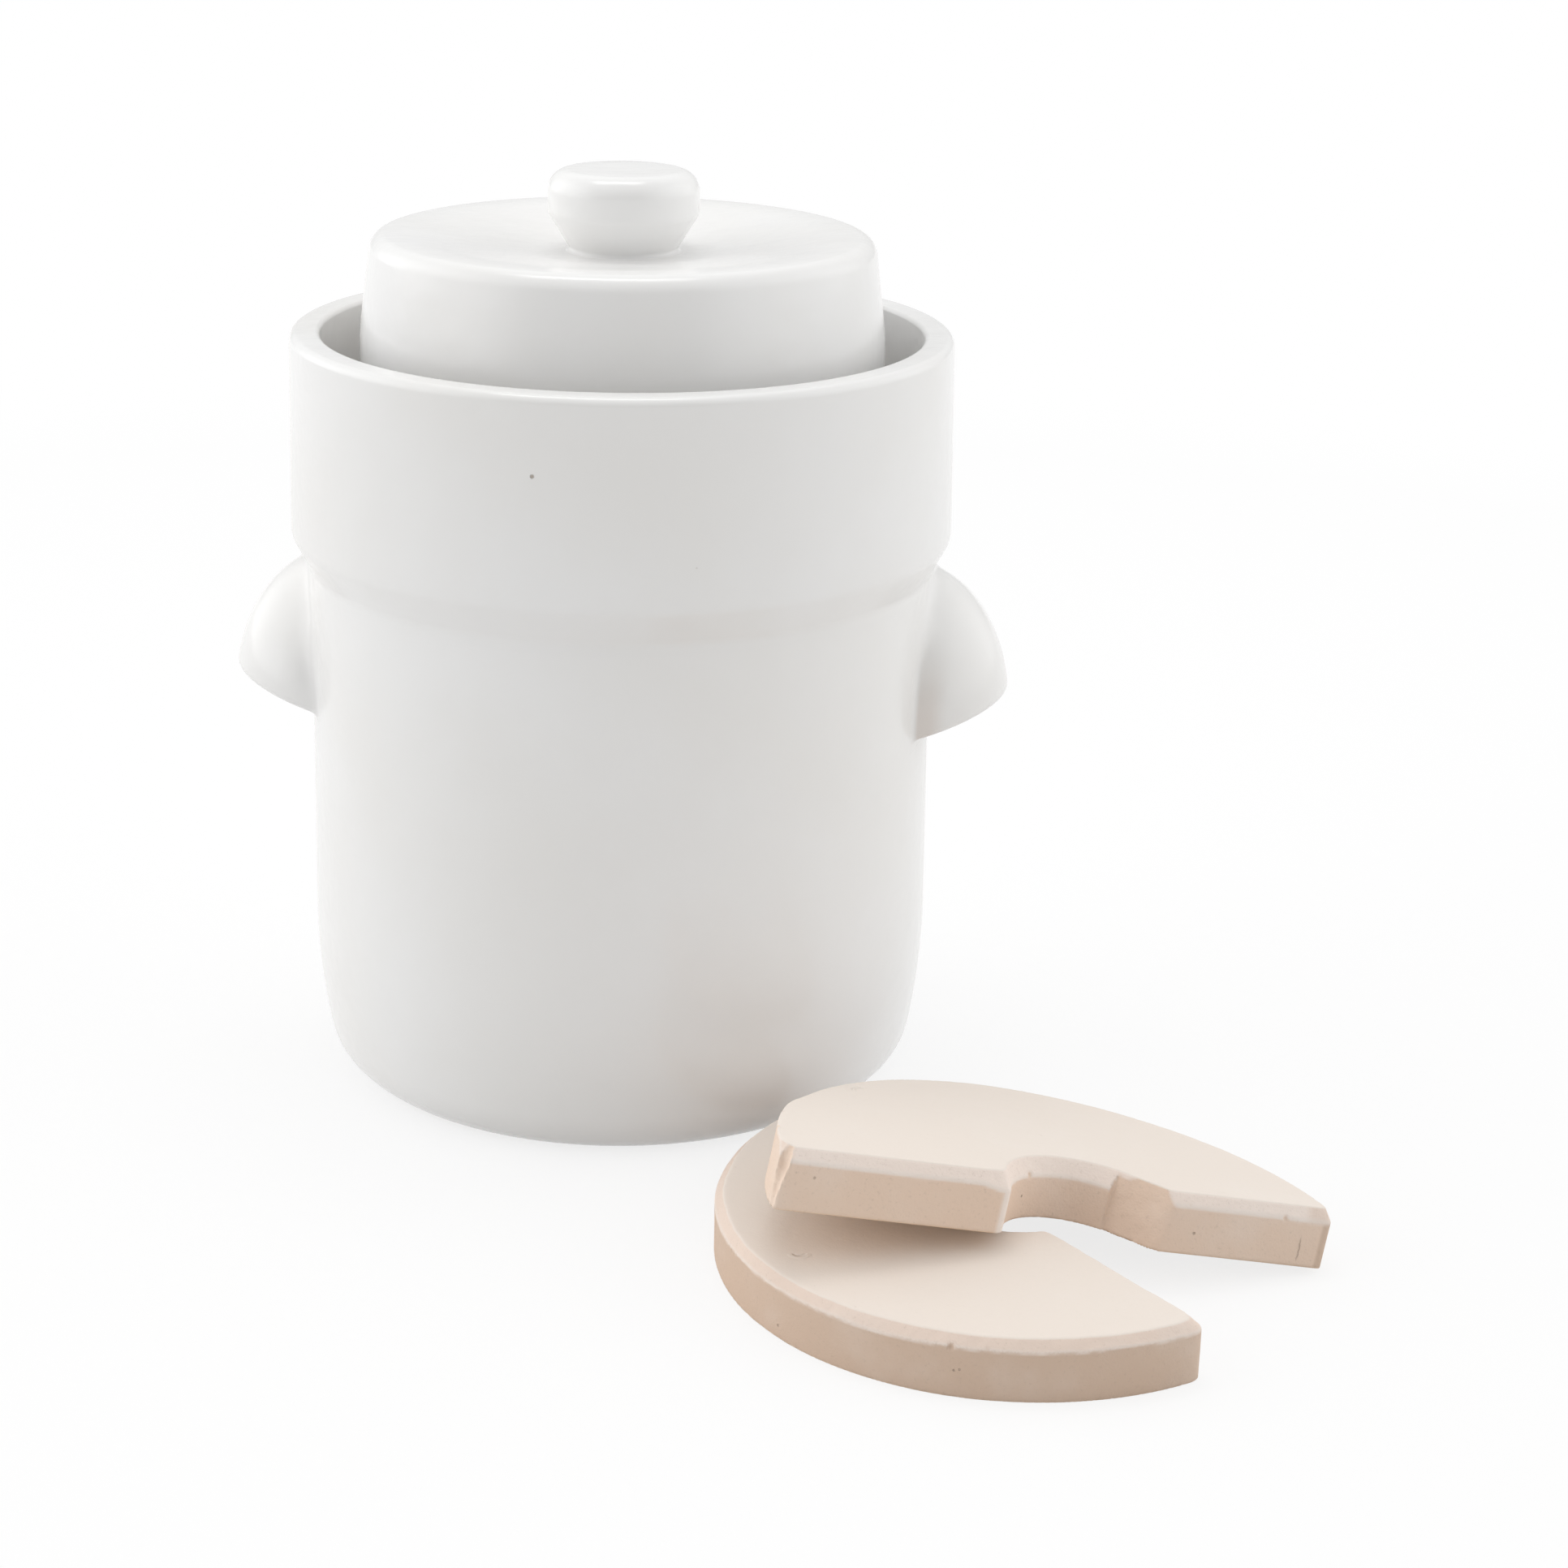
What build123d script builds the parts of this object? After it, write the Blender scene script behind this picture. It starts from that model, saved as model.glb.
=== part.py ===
"""A water seal pickle jar: a glazed stoneware crock with a water gutter round its mouth, two lug
handles, a tall lid that stands in the gutter, and two half-moon weight stones beside it.

Lengths are in millimetres and angles in degrees. +Z is up. The origin is the centre of the crock's
foot, on the floor. The handles lie along X, and the viewer of the photograph stands at -Y.
"""
import os
from math import asin, atan, cos, degrees, radians, sin, sqrt, tan

from build123d import *

# Across the mouth, from the neck outwards
neck_inner_radius = 52.5
neck_wall = 6.5
lid_clearance = 3.2             # between the neck and the lid's skirt
lid_wall = 6.0
channel_gap = 10.2              # the water that shows between the lid and the gutter's wall
gutter_wall = 7.9

# Crock: the outside
gutter_flare = 0.9              # the gutter is this much wider at its lower corner than at its rim
gutter_overhang = 4.9           # and its lower corner stands out this far from the body
body_flare = 1.3                # the body is this much wider above the heel than under the gutter
cove_height = 139.5             # the hollow line where the body meets the gutter
cove_round = 5.0
gutter_foot_rise = 9.0          # from the hollow line up to the gutter's lower corner
gutter_foot_round = 5.0
gutter_rim_outer_round = 4.0
gutter_rim_inner_round = 2.6
heel_height = 29.0              # where the leaning heel would meet the upright wall
heel_lean = 10.0                # how far the heel leans in from the upright
heel_blend_share = 0.95         # how much of the heel its wide curve takes up
foot_round = 14.0               # the tight curve between the heel and the floor

# Crock: the inside
body_wall = 7.5
floor_thickness = 9.0
inner_heel_round = 16.0
channel_floor_rise = 3.5        # the channel's floor is this far above the gutter's lower corner
channel_floor_thickness = 8.0
channel_depth = 49.0
channel_round = 3.0
neck_rise = 4.0                 # the neck stands this far above the gutter's rim
neck_lip_round = 2.9
neck_root_round = 4.0
shoulder_fall = 7.0             # the shoulder slopes down from the neck to the body wall
shoulder_round = 8.0

# Lug handles: half a domed button each, cut off below by a sloping plane and hollowed for fingers
lug_half_width = 27.4
lug_inset = 6.6                 # the dome's axis is this far inside the body's face
lug_half_height = 39.0
left_lug_tip_rise = 9.2         # the lower face at the tip is this far above the dome's widest level
right_lug_tip_rise = 6.0        # the lugs were cut off by hand, and this one a little lower
lug_underside_slope = 17.0      # the lower face falls towards the body
lug_edge_round = 1.6
grip_wall = 8.0                 # clay left round the finger hollow
grip_depth = 16.0

# Lid: its skirt stands on the channel's floor and its crown passes over the neck
lid_seat_gap = 0.3              # between the skirt's foot and the channel's floor
lid_bend_drop = 25.0            # the skirt is upright up to this far under the top
lid_bend_round = 60.0
lid_top_taper = 3.1             # and from there it leans in by this much
lid_inner_taper = 1.6           # its hollow is this much narrower at the crown
lid_headroom = 9.2              # between the neck and the crown
lid_crown_thickness = 7.0
lid_edge_round = 4.5
lid_inner_round = 6.0
lid_foot_round = 2.2
dish_depth = 4.5                # the top sinks towards the knob
dish_blend_share = 0.6          # how much of the dish's slope its two wide curves take up
dish_rim_margin = 2.0           # flat clay left between the dish and the edge's rounding
knob_seat_margin = 1.0          # flat clay left round the knob's foot
gas_notch_radius = 5.0          # two half-round notches in the skirt's foot let gas out
gas_notch_angles = (90.0, 270.0)

# Knob, luted on the middle of the lid
knob_radius = 19.7
knob_height = 20.8
knob_top_round = 5.0
knob_shoulder_rise = 9.8        # where the cone under the knob ends, above the lid
knob_shoulder_round = 3.5
knob_waist_radius = 14.4
knob_waist_rise = 1.8
knob_waist_round = 1.6
knob_foot_radius = 17.0

# Weight stones: unglazed half-moons, each with a half-round notch in its straight side
stone_radius = 72.3
stone_thickness = 15.0
stone_bevel = 2.0
stone_cut = 2.3                 # what the saw took from each half of the disc
stone_corner_margin = 0.7       # a corner's rounding is this much more than the bevel
lower_notch_radius = 16.0
upper_notch_radius = 18.0
upper_notch_offset = 7.0        # the notch isn't in the middle of this stone
broken_corner = 5.0             # the corner to the right of that notch has broken away

# Where the stones lie: the lower one flat, the upper one leaning on its straight edge
lower_stone_azimuth = -49.7     # seen from the crock's axis
lower_stone_turn = 127.0
stone_to_crock = 4.1
stone_gap = 0.3                 # where the leaning stone touches
upper_stone_slide = -26.7       # along the lower stone's straight edge
upper_stone_back = 6.6          # its centre is this far behind that edge
upper_stone_turn = -21.6        # turned in the plane that it leans in

# One overrun serves every cut
overrun = 20.0

# Radii that follow
neck_outer_radius = neck_inner_radius + neck_wall
lid_inner_radius = neck_outer_radius + lid_clearance
lid_skirt_radius = lid_inner_radius + lid_wall
channel_outer_radius = lid_skirt_radius + channel_gap
gutter_rim_radius = channel_outer_radius + gutter_wall
gutter_foot_radius = gutter_rim_radius + gutter_flare
body_neck_radius = gutter_foot_radius - gutter_overhang
body_foot_radius = body_neck_radius + body_flare
chamber_radius = body_neck_radius - body_wall
lug_axis_radius = body_foot_radius - lug_inset

# Heights that follow
gutter_foot_height = cove_height + gutter_foot_rise
channel_floor_height = gutter_foot_height + channel_floor_rise
shoulder_height = channel_floor_height - channel_floor_thickness
gutter_rim_height = channel_floor_height + channel_depth
neck_height = gutter_rim_height + neck_rise
lid_foot_height = channel_floor_height + lid_seat_gap
lid_crown_height = neck_height + lid_headroom
lid_seat_height = lid_crown_height + lid_crown_thickness
lid_top_height = lid_seat_height + dish_depth
lug_level = cove_height - lug_half_height


def turned(corners):
    """A solid of revolution about Z from its outline's corners, each (radius, height, rounding)."""
    points = [(radius, height) for radius, height, rounding in corners]
    roundings = [rounding for radius, height, rounding in corners]
    outline = FilletPolyline(*points, radius=roundings, close=True)
    return revolve(Plane.XZ * make_face(outline), Axis.Z)


def crock_outside():
    """The corners of the crock's outer outline, from the floor up to the gutter's rim."""
    heel_foot_radius = body_foot_radius - heel_height * tan(radians(heel_lean))
    heel_length = heel_height / cos(radians(heel_lean))
    foot_tangent = foot_round * tan(radians((90 - heel_lean) / 2))
    heel_tangent = heel_blend_share * (heel_length - foot_tangent)
    heel_turn = radians(heel_lean) + atan(body_flare / (cove_height - heel_height))
    return [
        (heel_foot_radius, 0, foot_round),
        (body_foot_radius, heel_height, heel_tangent / tan(heel_turn / 2)),
        (body_neck_radius, cove_height, cove_round),
        (gutter_foot_radius, gutter_foot_height, gutter_foot_round),
        (gutter_rim_radius, gutter_rim_height, gutter_rim_outer_round),
    ]


def crock_body():
    """Body, gutter and inner neck, thrown as one wall."""
    inside = [
        (channel_outer_radius, gutter_rim_height, gutter_rim_inner_round),
        (channel_outer_radius, channel_floor_height, channel_round),
        (neck_outer_radius, channel_floor_height, channel_round),
        (neck_outer_radius, neck_height, neck_lip_round),
        (neck_inner_radius, neck_height, neck_lip_round),
        (neck_inner_radius, shoulder_height, neck_root_round),
        (chamber_radius, shoulder_height - shoulder_fall, shoulder_round),
        (chamber_radius, floor_thickness, inner_heel_round),
        (0, floor_thickness, 0),
    ]
    return turned([(0, 0, 0), *crock_outside(), *inside])


def dome(radius, half_height, height):
    """An egg-shaped solid about the lug's own upright axis, on the +X side."""
    half = Ellipse(radius, half_height)
    half -= Rectangle(radius, 2 * half_height, align=(Align.MAX, Align.CENTER))
    return Pos(lug_axis_radius, 0, height) * revolve(Plane.XZ * half, Axis.Z)


def lug_handle(turn, tip_rise):
    """One lug, seated face to face on the body's wall."""
    lug_tip_height = lug_level + tip_rise
    lug_reach = lug_axis_radius + lug_half_width
    below = Box(2 * lug_reach, 2 * lug_reach, lug_reach, align=(Align.CENTER, Align.CENTER, Align.MAX))
    below = Pos(lug_reach, 0, lug_tip_height) * Rot(0, -lug_underside_slope, 0) * below
    lug = dome(lug_half_width, lug_half_height, lug_level) - below
    underside = lug.faces().filter_by(GeomType.PLANE).sort_by(Axis.Z)[0]
    lug = fillet(underside.outer_wire().edges(), lug_edge_round)
    grip_level = lug_tip_height - lug_half_width * tan(radians(lug_underside_slope))
    lug -= dome(lug_half_width - grip_wall, grip_depth, grip_level)
    lug -= turned([(0, 0, 0), *crock_outside(), (0, gutter_rim_height, 0)])
    return Rot(0, 0, turn) * lug


def lid_shell():
    """The lid's dished top and tall skirt, turned as one wall, with its two gas notches."""
    seat_radius = knob_foot_radius + knob_seat_margin
    lid_top_radius = lid_skirt_radius - lid_top_taper
    dish_width = lid_top_radius - lid_edge_round - dish_rim_margin - seat_radius
    widest_blend = (dish_width**2 + dish_depth**2) / (4 * dish_depth)
    dish_blend = dish_blend_share * widest_blend
    blend_excess = 4 * dish_blend - dish_depth
    half_slope = atan((dish_width - sqrt(dish_width**2 - dish_depth * blend_excess)) / blend_excess)
    dish_tangent = dish_blend * tan(half_slope)
    dish_middle_radius = seat_radius + dish_tangent
    dish_rim_radius = seat_radius + dish_width - dish_tangent
    lid = turned([
        (0, lid_seat_height, 0),
        (dish_middle_radius, lid_seat_height, dish_blend),
        (dish_rim_radius, lid_top_height, dish_blend),
        (lid_top_radius, lid_top_height, lid_edge_round),
        (lid_skirt_radius, lid_top_height - lid_bend_drop, lid_bend_round),
        (lid_skirt_radius, lid_foot_height, lid_foot_round),
        (lid_inner_radius, lid_foot_height, lid_foot_round),
        (lid_inner_radius - lid_inner_taper, lid_crown_height, lid_inner_round),
        (0, lid_crown_height, 0),
    ])
    notch = Cylinder(gas_notch_radius, lid_skirt_radius + overrun,
                     align=(Align.CENTER, Align.CENTER, Align.MIN))
    for angle in gas_notch_angles:
        lid -= Pos(0, 0, lid_foot_height) * Rot(0, 90, angle) * notch
    return lid


def lid_knob():
    """A flat-topped knob on a cone that narrows to a waist just above the lid."""
    return turned([
        (0, lid_seat_height, 0),
        (knob_foot_radius, lid_seat_height, 0),
        (knob_waist_radius, lid_seat_height + knob_waist_rise, knob_waist_round),
        (knob_radius, lid_seat_height + knob_shoulder_rise, knob_shoulder_round),
        (knob_radius, lid_seat_height + knob_height, knob_top_round),
        (0, lid_seat_height + knob_height, 0),
    ])


def half_moon(notch_radius, notch_offset):
    """A stone's outline: its straight side faces -Y, and its disc is centred on the origin."""
    outline = Circle(stone_radius)
    outline -= Pos(0, stone_cut) * Rectangle(2 * stone_radius + overrun, stone_radius + overrun,
                                             align=(Align.CENTER, Align.MAX))
    return outline - Pos(notch_offset, 0) * Circle(notch_radius)


def thickened(outline):
    """The stone from its outline, lying on its underside, with its top edges bevelled."""
    stone = extrude(outline, stone_thickness)
    return chamfer(stone.faces().sort_by(Axis.Z)[-1].outer_wire().edges(), stone_bevel)


def lower_weight_stone():
    """The stone that lies flat on the floor."""
    outline = half_moon(lower_notch_radius, 0)
    outline = fillet(outline.vertices(), stone_bevel + stone_corner_margin)
    return lower_stone_place() * thickened(outline)


def upper_weight_stone():
    """The stone that leans. Its underside lies on the straight top edge of the lower one, and the
    lowest point of its rim touches the floor, so its lean follows from both."""
    outline = half_moon(upper_notch_radius, upper_notch_offset)
    first_tip, notch_left, notch_right, last_tip = outline.vertices().sort_by(Axis.X)
    outline = chamfer(notch_right, broken_corner)
    rounded = [outline.vertices().sort_by_distance(corner)[0]
               for corner in (first_tip, notch_left, last_tip)]
    outline = fillet(rounded, stone_bevel + stone_corner_margin)

    lean = 0.0
    for _ in range(20):  # settles on the angle at which both places touch
        lean = asin(stone_thickness / (stone_radius - upper_stone_back / cos(lean)))
    edge = stone_cut + stone_bevel
    place = lower_stone_place() * Rot(0, 0, -90)
    place *= Pos(-edge - upper_stone_back, upper_stone_slide, stone_radius * sin(lean) + stone_gap)
    return place * Rot(0, degrees(lean), 0) * Rot(0, 0, upper_stone_turn) * thickened(outline)


def lower_stone_place():
    """The middle of the lower stone's disc, on the floor just clear of the crock."""
    distance = body_foot_radius + stone_to_crock + stone_radius
    turn = lower_stone_turn - lower_stone_azimuth
    return Rot(0, 0, lower_stone_azimuth) * Pos(distance, 0) * Rot(0, 0, turn)


parts = {
    "crock_body": crock_body(),
    "left_handle": lug_handle(180, left_lug_tip_rise),
    "right_handle": lug_handle(0, right_lug_tip_rise),
    "lid_shell": lid_shell(),
    "lid_knob": lid_knob(),
    "lower_weight_stone": lower_weight_stone(),
    "upper_weight_stone": upper_weight_stone(),
}

os.makedirs("parts", exist_ok=True)
for name, solid in parts.items():
    export_step(solid, f"parts/{name}.step")
    print(name, round(solid.volume), "cubic mm")
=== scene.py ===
# %% [markdown]
# # A water seal pickle jar
#
# The real jar is stoneware. A crock with a gutter round its mouth, a tall lid and a knob are thrown
# on a wheel, two lugs are luted on by hand, and everything is dipped in a warm white glaze. Two
# half-moon weight stones of bare clay lie beside it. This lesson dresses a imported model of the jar,
# which already has the right sizes, with surfaces that look thrown, dipped and fired.
#
# The model is loaded first. Lengths are in metres, so sizes in millimetres are written with the
# unit beside them. Outlines, and the marks on glaze and clay, are in plain millimetres.

# %% Load the frame
from math import asin, atan, ceil, cos, pi, radians, sin, sqrt, tan

import bpy
from mathutils import Matrix, Vector


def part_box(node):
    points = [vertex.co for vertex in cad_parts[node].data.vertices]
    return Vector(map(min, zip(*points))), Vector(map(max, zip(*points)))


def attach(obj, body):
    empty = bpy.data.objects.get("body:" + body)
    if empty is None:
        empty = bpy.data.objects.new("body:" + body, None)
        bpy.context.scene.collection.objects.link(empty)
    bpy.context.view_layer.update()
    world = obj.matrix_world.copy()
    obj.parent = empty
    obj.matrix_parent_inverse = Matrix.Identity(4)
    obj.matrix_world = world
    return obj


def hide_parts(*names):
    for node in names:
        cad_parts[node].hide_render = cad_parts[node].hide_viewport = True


MM = 0.001
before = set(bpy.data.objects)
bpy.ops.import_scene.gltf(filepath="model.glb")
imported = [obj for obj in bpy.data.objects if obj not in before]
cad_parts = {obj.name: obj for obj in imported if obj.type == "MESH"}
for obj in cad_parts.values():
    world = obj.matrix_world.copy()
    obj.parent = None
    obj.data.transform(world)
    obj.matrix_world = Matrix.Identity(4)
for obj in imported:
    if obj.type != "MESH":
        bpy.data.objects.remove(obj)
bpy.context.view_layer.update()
_, crock_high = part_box("crock_body")
lid_low, lid_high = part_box("lid_shell")
_, knob_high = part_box("lid_knob")
print("crock", crock_high, "lid", lid_low, lid_high, "knob", knob_high)

# %% [markdown]
# ## Writing nodes as sums
#
# Both finishes and shapes below are rules: a number worked out at each point. In Blender such a
# rule is a tree of nodes. Placing the nodes by hand is slow to read, so one small class wraps an
# output socket, and Python's own signs add the Math nodes. Any other node comes from add(), which
# sets the node's settings first and its inputs afterwards.

# %% Sockets that can be added and multiplied
class Wire:
    """What one socket gives out. Python's signs on it add Math nodes to the same tree."""

    def __init__(self, socket):
        self.socket = socket
        self.tree = socket.id_data

    def out(self, name):
        return Wire(self.socket.node.outputs[name])

    def maths(self, operation, *values):
        return add(self.tree, "ShaderNodeMath", {"operation": operation}, dict(enumerate(values)))

    def __add__(self, other):
        return self.maths("ADD", self, other)

    def __radd__(self, other):
        return self.maths("ADD", other, self)

    def __sub__(self, other):
        return self.maths("SUBTRACT", self, other)

    def __rsub__(self, other):
        return self.maths("SUBTRACT", other, self)

    def __mul__(self, other):
        return self.maths("MULTIPLY", self, other)

    def __rmul__(self, other):
        return self.maths("MULTIPLY", other, self)

    def __truediv__(self, other):
        return self.maths("DIVIDE", self, other)

    def __neg__(self):
        return self.maths("MULTIPLY", self, -1.0)

    def __abs__(self):
        return self.maths("ABSOLUTE", self)


def add(tree, kind, settings=None, inputs=None, out=0):
    """Adds one node to a tree: its settings, then its inputs, which are values or wires."""
    node = tree.nodes.new(kind)
    for name, value in (settings or {}).items():
        setattr(node, name, value)
    for name, value in (inputs or {}).items():
        if isinstance(value, Wire):
            tree.links.new(value.socket, node.inputs[name])
        else:
            node.inputs[name].default_value = value
    return Wire(node.outputs[out]) if node.outputs else None


def root(value):
    return value.maths("SQRT", value)


def least(first, second, blend=0.0):
    """The smaller of two wires, with a soft change between them where blend is given."""
    if blend:
        return first.maths("SMOOTH_MIN", first, second, blend)
    return first.maths("MINIMUM", first, second)


def most(first, second, blend=0.0):
    """The larger of two wires, as soft as least()."""
    if blend:
        return first.maths("SMOOTH_MAX", first, second, blend)
    return first.maths("MAXIMUM", first, second)


def fade(value, start, end):
    """Rises softly from 0 to 1 as the value goes from start to end."""
    return add(value.tree, "ShaderNodeMapRange", {"interpolation_type": "SMOOTHSTEP"},
               {"Value": value, "From Min": start, "From Max": end})


def band(value, start, full, fall, end):
    """1 between full and fall, and softly down to 0 at start and at end."""
    return fade(value, start, full) * (1.0 - fade(value, fall, end))


def split(vector):
    """The three parts of a vector. A new wire carries its node's first output, here X."""
    parts = add(vector.tree, "ShaderNodeSeparateXYZ", {}, {0: vector})
    return parts, parts.out("Y"), parts.out("Z")


def joined(tree, x, y, z):
    return add(tree, "ShaderNodeCombineXYZ", {}, {0: x, 1: y, 2: z})


def noise(tree, place, scale, detail=2.0, rough=0.5, shift=0.0):
    """Soft noise about 0, mostly within half a unit either way; its scale is in bumps a metre."""
    moved = add(tree, "ShaderNodeVectorMath", {"operation": "ADD"},
                {0: place, 1: (shift, shift, shift)})
    value = add(tree, "ShaderNodeTexNoise", {"noise_dimensions": "3D"},
                {"Vector": moved, "Scale": scale, "Detail": detail, "Roughness": rough})
    return value - 0.5


# %% [markdown]
# ## Glaze
#
# The glaze is a warm white gloss, a little milky, over pale clay. Close up it isn't flat: it
# ripples like orange peel, it carries a faint cloudiness, and here and there an iron speck or a
# pinhole burnt through in the kiln. In the water channel the glaze is painted paler, as painted
# light that lifts the shade of the deep channel, and in the crease beside the right lug a painted
# brownish shade stands for its shade and the stones' reflection. The potter wipes the glaze off the
# foot and off the lid's rim, where it would stick to the shelf, so there the bare clay shows.
#
# One Principled shader does for all of it. Masks worked out from Object coordinates choose between
# glaze and clay, and feed only its colour, roughness and normal.

# %% Glaze
GLAZE_COLOUR = (0.845, 0.838, 0.822, 1.0)
GLAZE_CLOUD = (0.872, 0.872, 0.868, 1.0)
# Painted light: a paler glaze colour for the water channel, lifting the shade of its depth.
GLAZE_POOLED = (0.965, 0.950, 0.930, 1.0)
# Painted shade: a brownish glaze colour for the crease beside the right lug, standing for its shade
# and the stones' reflection.
GLAZE_THIN = (0.720, 0.650, 0.600, 1.0)
SPECK_COLOUR = (0.30, 0.23, 0.17, 1.0)
BARE_CLAY = (0.66, 0.55, 0.46, 1.0)
GLAZE_ROUGHNESS = 0.17
CLAY_ROUGHNESS = 0.85


def new_material(name):
    material = bpy.data.materials.new(name)
    material.use_nodes = True
    material.node_tree.nodes.clear()
    return material, material.node_tree


def mix_colour(tree, share, first, second):
    """One colour turning into another as the share goes from 0 to 1."""
    return add(tree, "ShaderNodeMix", {"data_type": "RGBA"}, {0: share, 6: first, 7: second}, out=2)


def bumped(tree, height):
    """A normal from a height in millimetres."""
    return add(tree, "ShaderNodeBump", {}, {"Strength": 1.0, "Distance": MM, "Height": height})


def scattered(tree, place, scale, size, chosen):
    """Round spots that fade over a size, in cells, in the few cells that a lot has chosen."""
    cells = add(tree, "ShaderNodeTexVoronoi", {"feature": "F1"}, {"Vector": place, "Scale": scale})
    lot = split(cells.out("Color"))[0]
    return (1.0 - fade(cells, *size)) * fade(lot, *chosen)


def spot_at(tree, place, mark, core):
    """1 in the core of a mark (x, y, z, size) in millimetres, falling to 0 at its size."""
    *middle, size = [value * MM for value in mark]
    away = add(tree, "ShaderNodeVectorMath", {"operation": "DISTANCE"},
               {0: place, 1: middle}, out=1)
    return 1.0 - fade(away, core * size, size)


def glaze(name, bare_height, bare_radius, specks, runs):
    """White glaze with specks (x, y, z, size), bare below a height and inside a radius.

    Where the last argument is 1, light is painted into the water channel, as a paler glaze, and
    shade into the crease beside the right lug, as a brownish tint.
    """
    material, tree = new_material(name)
    place = add(tree, "ShaderNodeTexCoord", out=3)
    x, y, z = split(place)

    cloud = fade(noise(tree, place, 14.0, detail=3.0), -0.2, 0.25)
    colour = mix_colour(tree, cloud, GLAZE_COLOUR, GLAZE_CLOUD)
    radius = root(x * x + y * y)
    # Painted light: the glaze in the water channel is painted paler, standing in for light reaching
    # into the deep channel.
    pooled = band(radius, 57.0 * MM, 60.0 * MM, 78.0 * MM, 79.5 * MM)
    pooled = pooled * band(z, 150.0 * MM, 151.0 * MM, 180.0 * MM, 200.0 * MM)
    colour = mix_colour(tree, pooled * runs, colour, GLAZE_POOLED)
    # Painted shade: the crease between the right lug and the wall is tinted brown, standing for its
    # shade and the stones' reflection there.
    thin = band(radius, 83.0 * MM, 84.0 * MM, 86.0 * MM, 91.0 * MM) * fade(x, 0.0, 1.0 * MM)
    thin = thin * band(z, 96.0 * MM, 99.0 * MM, 104.0 * MM, 124.0 * MM)
    colour = mix_colour(tree, thin * runs * 0.6, colour, GLAZE_THIN)
    spot = scattered(tree, place, 42.0, (0.010, 0.022), (0.86, 0.90))
    for speck in specks:
        spot = most(spot, spot_at(tree, place, speck, 0.35))
    colour = mix_colour(tree, spot * 0.75, colour, SPECK_COLOUR)

    wavy = z + noise(tree, place, 90.0) * 0.6 * MM
    bare = 1.0 - fade(wavy, bare_height - 0.3 * MM, bare_height)
    bare = bare * (1.0 - fade(radius, bare_radius, bare_radius + 1.0 * MM))
    grain = noise(tree, place, 1400.0)
    colour = mix_colour(tree, bare, colour, BARE_CLAY)
    roughness = GLAZE_ROUGHNESS + noise(tree, place, 30.0) * 0.08 + spot * 0.2
    roughness = roughness * (1.0 - bare) + bare * CLAY_ROUGHNESS

    fine_peel = noise(tree, place, 260.0, detail=1.0) * 0.05
    broad_peel = noise(tree, place, 70.0, detail=1.0) * 0.22
    height = (fine_peel + broad_peel) * (1.0 - bare) + bare * grain * 0.25 - spot * 0.25
    shader = add(tree, "ShaderNodeBsdfPrincipled", {}, {
        "Base Color": colour, "Roughness": roughness, "IOR": 1.52, "Normal": bumped(tree, height)})
    add(tree, "ShaderNodeOutputMaterial", {}, {"Surface": shader})
    return material


# %% [markdown]
# ## Bare clay for the stones
#
# The weight stones are biscuit ware, never glazed: a dry, pinkish cream that takes light like
# chalk. The tops are rubbed smooth and paler, the sides are darker and sandy, and a few small pits
# are open in them. The bevelled edge is in between, browner towards the round rim, and where it
# meets the side fresh clay shows as a pale line. Each stone also has a few marks of its own, such
# as a crescent dent where something struck the top, and the upper one has a crack near one end.
#
# The stones are turned and tipped, so their patterns read a copy of the position from before they
# were laid down, kept on the mesh as the attribute "own_place". Two more attributes say how much
# of a point is bevel and how near it is to the pale line.

# %% Clay
CLAY_TOP = (0.820, 0.742, 0.672, 1.0)
CLAY_BEVEL = (0.880, 0.770, 0.695, 1.0)
CLAY_RIM_BEVEL = (0.790, 0.655, 0.565, 1.0)
CLAY_SAWN = (0.800, 0.632, 0.510, 1.0)
CLAY_RIM = (0.655, 0.500, 0.390, 1.0)
CLAY_UNDER = (0.800, 0.620, 0.470, 1.0)
CLAY_FRESH = (0.850, 0.790, 0.735, 1.0)
CLAY_SPECK = (0.42, 0.33, 0.26, 1.0)
DRY_ROUGHNESS = 0.88
STONE_THICK = 15.0 * MM
STONE_RADIUS = 72.3 * MM


def stored(tree, name, out):
    return add(tree, "ShaderNodeAttribute", {"attribute_name": name}, out=out)


def crescent(x, y, middle_x, middle_y, size, turn):
    """1 on a crescent about a point, open on one side."""
    dx, dy = x - middle_x, y - middle_y
    ring = 1.0 - fade(abs(root(dx * dx + dy * dy) - size), 0.05 * size, 0.45 * size)
    return ring * fade(dx * cos(turn) + dy * sin(turn), -0.1 * size, 0.7 * size)


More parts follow.
